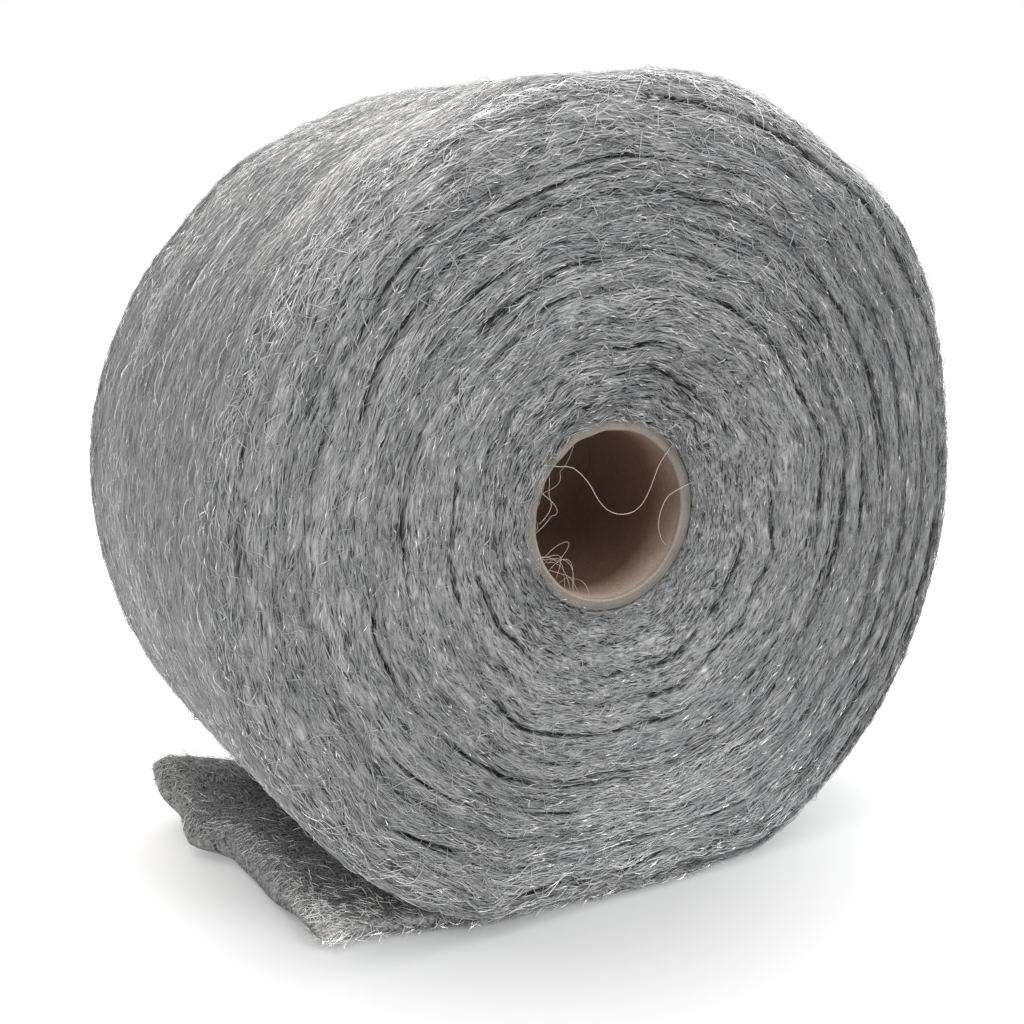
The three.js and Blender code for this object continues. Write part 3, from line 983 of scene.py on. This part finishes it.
def makeTail():
    rows, columns, endColumns = tailForm["rows"], tailForm["columns"], tailForm["endColumns"]
    long = np.linspace(0, tailForm["endFrom"], columns - endColumns, endpoint=False)
    out = np.concatenate([long, np.linspace(tailForm["endFrom"], 1, endColumns)])
    around = (np.arange(rows) + 0.5) / rows
    outGrid, aroundGrid = np.meshgrid(out, around, indexing="ij")
    points = tailSkin(outGrid, aroundGrid)[0]
    faces, bakeMap = gridFaces(columns, rows)
    faces = faces.reshape(columns, rows, 4)[:-1].reshape(-1, 4)
    bakeMap = bakeMap.reshape(columns, rows, 4, 2)[:-1].reshape(-1, 4, 2)
    row = np.arange(rows // 2 - 1)  # both ends are closed by strips from the front edge to the back edge
    cap = np.stack([row, row + 1, rows - 2 - row, rows - 1 - row], -1)
    faces = np.concatenate([faces, cap, cap[:, ::-1] + (columns - 1) * rows])
    corners = [(0, 0), (1, 0), (1, 1), (0, 1)]
    capMap = np.stack([np.stack([row + i, np.full(len(row), j)], -1) for i, j in corners], 1)
    capMap = tailForm["capCorner"] + capMap * tailForm["capSize"] / rows
    bakeMap = np.concatenate([bakeMap, capMap, capMap]).reshape(-1, 2)
    tail = newPiece("looseTail", points.reshape(-1, 3), faces, tailMat, bakeMap)
    seatPiece(tail, "wool_roll")


makeTail()

tailNeedleForm = dict(
    needleForm, thickness=(0.00013, 0.00024), length=(0.002, 0.006), spread=60.0, wild=0.4, bend=90.0,
    toneSpread=0.12, glints=0.015,
)
tailFuzzForm = dict(fuzzForm, length=(0.002, 0.006), spread=50.0, tone=0.52)
tailCurlForm = dict(
    curlForm, length=(0.002, 0.006), spread=90.0, bend=260.0, twist=30000.0, tip=24.0, rise=0.0001,
    tone=0.68,
)
tailFibreForm = dict(
    name="tailFibres", seed=71, kinds=[(tailNeedleForm, 6500), (tailFuzzForm, 1500), (tailCurlForm, 900)],
    out=(0.12, 1.0), endOut=(0.95, 1.0), endShare=0.2, endLength=0.6, past=0.008,
    around=(-0.06, 0.56),  # the top and both edges
    # edgeTone and the edge glints are painted highlight along the tail's edges; endTone lightens the torn
    # end
    tone=-0.14, edgeTone=0.46, edgeShare=0.18, endTone=0.26, endFrom=0.8, darkest=0.02,
    edgeGlints=4.0, glintTone=0.97, fringe=0.0012,
)


# fibres of one kind on the tail, most of them along it, some standing off its edges and its torn end
def layTailFibres(settings, form, count, rng):
    reach = tailForm["root"] + tailForm["reach"]
    girth = 4 * halfStrip  # round the section, near enough
    atEnd = rng.uniform(size=count) < settings["endShare"]
    out = np.where(atEnd, rng.uniform(*settings["endOut"], count), rng.uniform(*settings["out"], count))
    around = rng.uniform(*settings["around"], count)
    slope = fibreSlopes(form, form["wild"], count, rng)
    length = rng.uniform(*form["length"], count) * np.where(atEnd, settings["endLength"], 1.0)
    step, ahead, aside = fibreCurves(form, count, slope, length, rng)
    furthest = 1.0 + rng.uniform(0, settings["past"], count)[:, None]
    outPath = np.minimum(out[:, None] + ahead / reach, furthest)
    edge = smoothStep(-np.abs(around), -settings["edgeShare"], 0)
    fringe = (edge * np.abs(rng.normal(size=count)))[:, None]
    loose = (np.array(form["places"])[None] ** 2) * fringe * settings["fringe"]
    lift = fibreLift(form, count, step, rng) + loose
    paths, normals = tailSkin(outPath, around[:, None] + aside / girth, lift)
    tone = form["tone"] + settings["tone"] + form["toneSpread"] * rng.normal(size=count)
    tone = tone + settings["edgeTone"] * edge
    tone = tone + settings["endTone"] * smoothStep(out, settings["endFrom"], 1.0)
    # painted glints, most of them along the edges
    glint = rng.uniform(size=count) < form["glints"] * (1 + settings["edgeGlints"] * edge) * ~atEnd
    tone = np.clip(np.where(glint, settings["glintTone"], tone), settings["darkest"], 1.0)
    tones = np.repeat(tone[:, None], len(form["places"]), 1)
    return paths, normals, rng.uniform(*form["thickness"], count), tones, form["places"], form["flat"]


makeFibres(tailFibreForm, layTailFibres)

# card core
coreForm = dict(
    wall=0.003, edge=0.0007, columns=160, boreRows=26, edgeRows=6, faceRows=5, outerRows=4,
    rough=0.00007, roughAlong=9.0, roughAside=0.004, roughOut=0.0012,
)
boreRadius = coreRadius - coreForm["wall"]
cardFinish = dict(
    specular=0.25, roughAt=(0.3, 0.7), rough=(0.95, 0.78), relief=0.0002, reliefStrength=0.5,
    fleckScale=1400.0, cloudScale=120.0, plyScale=2600.0,
    seamPitch=0.062, seamWidth=0.012, seam=0.15,
    # the bore is the card's own brown, darkened as painted shade deep inside; the mouth colours are painted
    # light near its front end
    bore=[(0.25, (0.1, 0.052, 0.033)), (0.7, (0.15, 0.08, 0.052))],
    mouth=[(0.25, (0.42, 0.32, 0.25)), (0.7, (0.68, 0.54, 0.45))], litMouthReach=0.012,
    litMouthLow=-0.9, litMouthHigh=0.1, litMouthTop=0.3,  # painted light, paler low in the mouth, in shares of the bore's radius
    rim=[(0.3, (0.135, 0.118, 0.102)), (0.62, (0.2, 0.18, 0.16))], plies=0.5, flecks=0.3, clouds=0.2,
    lipStart=0.0012, lipEnd=0.0005, lip=0.75, rimStart=0.0001, rimEnd=0.0007,  # where the bore turns to rim
)


def cardMaterial():
    material, shader, place = newMaterial("woundCard", {"Specular IOR Level": cardFinish["specular"]})
    x, y, height, radius = axisPlace(place)
    flecks = place.noise(place, cardFinish["fleckScale"], detail=4.0)
    clouds = place.noise(place, cardFinish["cloudScale"], detail=3.0)
    layers = place.node("ShaderNodeCombineXYZ", {}, {"X": radius * cardFinish["plyScale"]})
    plies = place.noise(layers, 1.0, detail=1.0)
    wound = x.sum("ARCTAN2", height, x) / fullTurn + y / cardFinish["seamPitch"]
    seam = wound.sum("FRACT", wound).span(0.0, cardFinish["seamWidth"], 1.0, 0.0)
    worn = flecks * 0.5 + clouds * 0.5 - seam * cardFinish["seam"]
    inner = worn.ramp(cardFinish["bore"])
    litMouthColour = worn.ramp(cardFinish["mouth"])
    paper = plies * cardFinish["plies"] + flecks * cardFinish["flecks"] + clouds * cardFinish["clouds"]
    outer = paper.ramp(cardFinish["rim"])
    outward = y.sum("ABSOLUTE", y)
    # painted light low in the mouth of the bore, fading inward and upward
    mouth = outward.span(coreHigh[1] - cardFinish["litMouthReach"], coreHigh[1])
    low, high = cardFinish["litMouthLow"] * boreRadius, cardFinish["litMouthHigh"] * boreRadius
    mouth = mouth * height.span(low, high, 1.0, cardFinish["litMouthTop"])
    lip = outward.span(coreHigh[1] - cardFinish["lipStart"], coreHigh[1] - cardFinish["lipEnd"])
    onFace = radius.span(boreRadius + cardFinish["rimStart"], boreRadius + cardFinish["rimEnd"])
    onRim = lip.sum("MAXIMUM", lip * cardFinish["lip"], onFace)
    grain = {
        "Strength": cardFinish["reliefStrength"], "Distance": cardFinish["relief"],
        "Height": flecks + plies * onRim - seam,
    }
    feedShader(shader, {
        "Base Color": onRim.blend(mouth.blend(inner, litMouthColour), outer),
        "Roughness": flecks.span(*cardFinish["roughAt"], *cardFinish["rough"]),
        "Normal": place.node("ShaderNodeBump", {}, grain, "Normal"),
    })
    return material


def makeCore(form):
    edge = form["edge"]
    inside = coreHalf - edge
    turn = np.linspace(0, math.pi / 2, form["edgeRows"])
    front = [(boreRadius + edge * (1 - math.cos(t)), -coreHalf + edge * (1 - math.sin(t))) for t in turn]
    across = np.linspace(boreRadius + edge, coreRadius - edge, form["faceRows"])
    flat = [(r, -coreHalf) for r in across[1:-1]]
    corner = [(coreRadius - edge * (1 - math.sin(t)), -coreHalf + edge * (1 - math.cos(t))) for t in turn]
    frontRows = front + flat + corner
    outer = [(coreRadius, y) for y in np.linspace(-inside, inside, form["outerRows"])[1:-1]]
    backRows = [(r, -y) for r, y in reversed(frontRows)]
    bore = [(boreRadius, y) for y in np.linspace(inside, -inside, form["boreRows"])[1:-1]]
    profile = np.array(frontRows + outer + backRows + bore)
    share = np.repeat((np.arange(form["columns"]) / form["columns"])[:, None], len(profile), 1)
    radius = np.repeat(profile[None, :, 0], form["columns"], 0)
    along = np.repeat(profile[None, :, 1], form["columns"], 0)
    marks = woundField(share, form["roughAlong"], along / form["roughAside"], radius / form["roughOut"])
    worn = form["rough"] * ripple(marks, seed=81)
    radius = np.minimum(radius + worn, coreRadius)
    along = np.clip(along + worn, -coreHalf, coreHalf)
    points = roundAxis(radius, along, share)
    faces, bakeMap = gridFaces(form["columns"], len(profile))
    core = newPiece("cardCore", points.reshape(-1, 3), faces, cardMaterial(), bakeMap)
    seatPiece(core, "core_tube")


makeCore(coreForm)

# loose filaments in the mouth of the bore: two long ones through points of x and z from the axis and y from
# the core's front end, in millimetres, and small loops that spring off the lower left of the wall
filamentForm = dict(
    thickness=0.00025, points=30, tone=0.62, seed=91,
    arcs=[
        [(-18.6, 14.0, -1.2), (-14.4, 12.8, -0.6), (-9.7, 11.9, 0.0), (-5.4, 8.0, 0.6), (-2.8, 3.9, 0.9),
         (-0.2, 1.1, 1.0), (3.0, -0.3, 0.9), (6.4, -0.1, 0.6), (8.8, 1.7, 0.4), (10.7, 4.9, 0.2),
         (12.6, 9.5, 0.0), (14.6, 12.6, -0.4), (17.4, 15.8, -1.0)],
        [(22.6, 5.6, -1.8), (20.4, 4.8, -0.9), (17.4, 3.6, -0.4), (15.1, 2.0, 0.2), (13.7, -1.9, 0.9),
         (14.0, -5.5, 1.6), (15.6, -8.7, 2.2), (18.2, -11.2, 2.0)],
    ],
    loops=11, lowAngles=(165, 232), highAngles=(100, 160), highEvery=5, spans=(12, 45),  # in degrees
    inward=(0.001, 0.0055), swing=(0.0003, 0.002), spins=(0.4, 1.7), off=0.0001,
    depth=(0.0, 0.004), sway=0.004, swayWaves=(0.5, 2), thinness=(0.5, 0.75),
)


# points spread evenly along a smooth curve through the given ones
def smoothPath(given, count):
    given = np.array(given, dtype=float)
    padded = np.concatenate([2 * given[:1] - given[1:2], given, 2 * given[-1:] - given[-2:-1]])
    place = np.linspace(0, len(given) - 1, count)
    span = np.minimum(place.astype(int), len(given) - 2)
    t = (place - span)[:, None]
    a, b, c, d = (padded[span + i] for i in range(4))
    bend = (2 * a - 5 * b + 4 * c - d) * t ** 2
    twist = (3 * b - a - 3 * c + d) * t ** 3
    return 0.5 * (2 * b + (c - a) * t + bend + twist)


# one small loop, from the wall and back to it
def wallLoop(form, angles, t, rng):
    low = math.radians(rng.uniform(*angles))
    high = low + math.radians(rng.uniform(*form["spans"]))
    arch = np.sin(np.pi * t)
    inward = rng.uniform(*form["inward"]) * arch
    swing = rng.uniform(*form["swing"]) * arch
    spin = rng.uniform(0, fullTurn) + fullTurn * rng.uniform(*form["spins"]) * t
    radius = boreRadius - form["off"] - np.maximum(inward + swing * (1 + np.cos(spin)), 0)
    angle = low + (high - low) * t + swing * np.sin(spin) / boreRadius
    depth = rng.uniform(*form["depth"])
    depth = depth + form["sway"] * rng.uniform() * np.sin(np.pi * t * rng.uniform(*form["swayWaves"]))
    return np.stack([radius * np.cos(angle), depth, radius * np.sin(angle)], -1)


def makeFilaments(form):
    rng = np.random.default_rng(form["seed"])
    count = form["points"]
    mouth = np.array([0, coreLow[1], axisHeight])
    paths = [smoothPath(arc, count)[:, [0, 2, 1]] * 0.001 + mouth for arc in form["arcs"]]
    t = np.linspace(0, 1, count)
    for index in range(form["loops"]):
        angles = form["lowAngles"] if index % form["highEvery"] else form["highAngles"]
        paths.append(wallLoop(form, angles, t, rng) + mouth)
    paths = np.array(paths)
    normals = np.zeros_like(paths)
    normals[..., 1] = -1
    thin = rng.uniform(*form["thinness"], len(paths))
    thickness = form["thickness"] * np.where(np.arange(len(paths)) < len(form["arcs"]), 1.0, thin)
    tones = np.full(paths.shape[:2], form["tone"])
    fibrePiece("boreFilaments", [(paths, normals, thickness, tones, t)], filamentMat, smooth=True)


makeFilaments(filamentForm)

# light and floor
studio = dict(
    world=(1.0, 1.0, 1.0),
    floorTone=0.7, floorVary=0.01, floorScale=3.0, floorSize=8.0, floorDrop=0.0002, floorRough=0.9,
    glowMiddle=(-0.012, -0.025), glowWide=1.3, glowSpan=(0.04, 0.2), glow=0.65,  # painted light: the floor glows more away from the roll, fading it into white
)
lamps = [
    dict(name="key", power=6.8, size=1.0, place=(-0.15, 0.2, 1.25), colour=(1.0, 0.955, 0.9)),
    dict(name="fill", power=7.5, size=0.5, place=(0.25, -1.05, 0.7), colour=(0.95, 0.98, 1.0)),
]


def makeLamp(form):
    data = bpy.data.lights.new(form["name"], "AREA")
    data.energy = form["power"]
    data.size = form["size"]
    data.color = form["colour"]
    lamp = bpy.data.objects.new(form["name"], data)
    lamp.location = form["place"]
    aim = Vector((0, 0, axisHeight)) - lamp.location
    lamp.rotation_euler = aim.to_track_quat("-Z", "Y").to_euler()
    scene.collection.objects.link(lamp)


def makeStudio(form):
    world = bpy.data.worlds.new("studio")
    world.use_nodes = True
    world.node_tree.nodes["Background"].inputs["Color"].default_value = (*form["world"], 1)
    scene.world = world
    fixed = {"Roughness": form["floorRough"], "Specular IOR Level": 0.0, "Emission Strength": 1.0}
    material, shader, place = newMaterial("paleFloor", fixed)
    x, y = splitPlace(place)[:2]
    # painted light: the floor's glow grows with distance from the roll
    right = (x - form["glowMiddle"][0]) * form["glowWide"]
    behind = y - form["glowMiddle"][1]
    away = (right * right + behind * behind) ** 0.5
    tones = form["floorTone"] - form["floorVary"], form["floorTone"] + form["floorVary"]
    feedShader(shader, {
        "Base Color": place.noise(place, form["floorScale"], detail=2.0).span(0, 1, *tones),
        "Emission Color": away.span(*form["glowSpan"], 0.0, form["glow"]),
    })
    half, low = form["floorSize"] / 2, -form["floorDrop"]
    corners = [(-half, -half, low), (half, -half, low), (half, half, low), (-half, half, low)]
    floor = newPiece("floor", corners, [(0, 1, 2, 3)], material)
    scene.view_settings.view_transform = "Standard"
    scene.cycles.denoising_prefilter = "NONE"  # keeps the finest fibres


for lamp in lamps:
    makeLamp(lamp)
makeStudio(studio)
print("studio lit")
